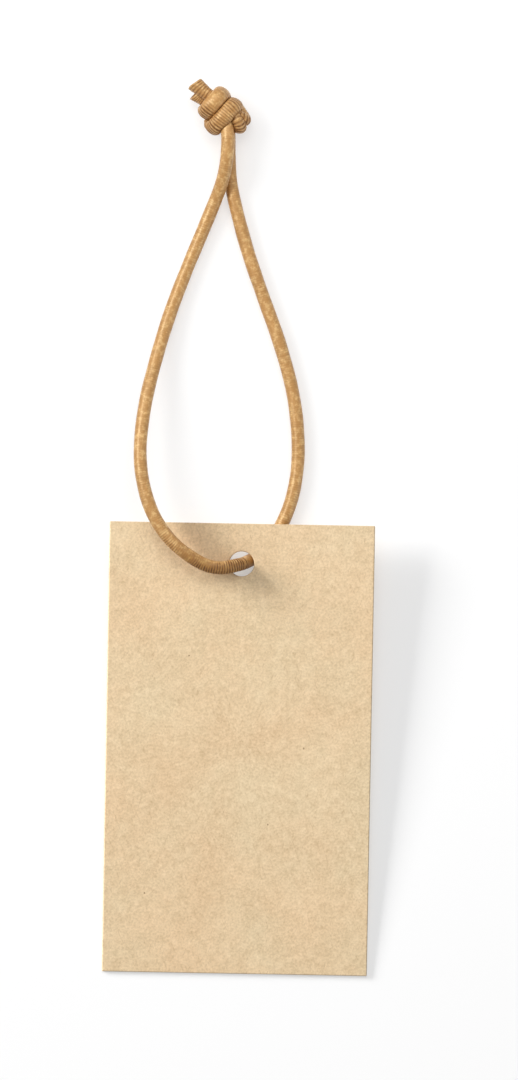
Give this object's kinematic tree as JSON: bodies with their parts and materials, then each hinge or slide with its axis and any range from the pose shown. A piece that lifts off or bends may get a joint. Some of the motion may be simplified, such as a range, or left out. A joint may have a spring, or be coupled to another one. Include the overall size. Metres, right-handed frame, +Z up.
{
  "type": "hang tag",
  "caption": "Plain kraft board hang tag with a punched hole, on a loop of round elastic cord closed by a doubled overhand knot.",
  "frame": {"origin": "on the surface that the tag lies on, under the middle of the card", "axes": "+Z up from the surface, +Y up the card towards its hole and the knot, +X to the card's right as it is read"},
  "size_m": [0.05, 0.1687, 0.0081],
  "materials": {
    "kraft_board": "matt unbleached kraft board with a fine mottle of fibres",
    "elastic_cover": "satin golden-tan yarn wound round the core, finely ribbed",
    "rubber_core": "matt natural rubber"
  },
  "bodies": {
    "cord": {"cord_cover_loop": "elastic_cover", "cord_core_loop": "rubber_core", "cord_knot": "elastic_cover", "cord_core_front_tail": "rubber_core", "cord_core_back_tail": "rubber_core"},
    "card": {"tag_card": "kraft_board"}
  },
  "joints": [
    {"name": "card_swing", "type": "hinge", "parent": "cord", "child": "card", "pos_m": [0, 0.03489, 0.00353], "axis": [0, -0.0424, 0.9991], "range_deg": [-60, 60]}
  ]
}
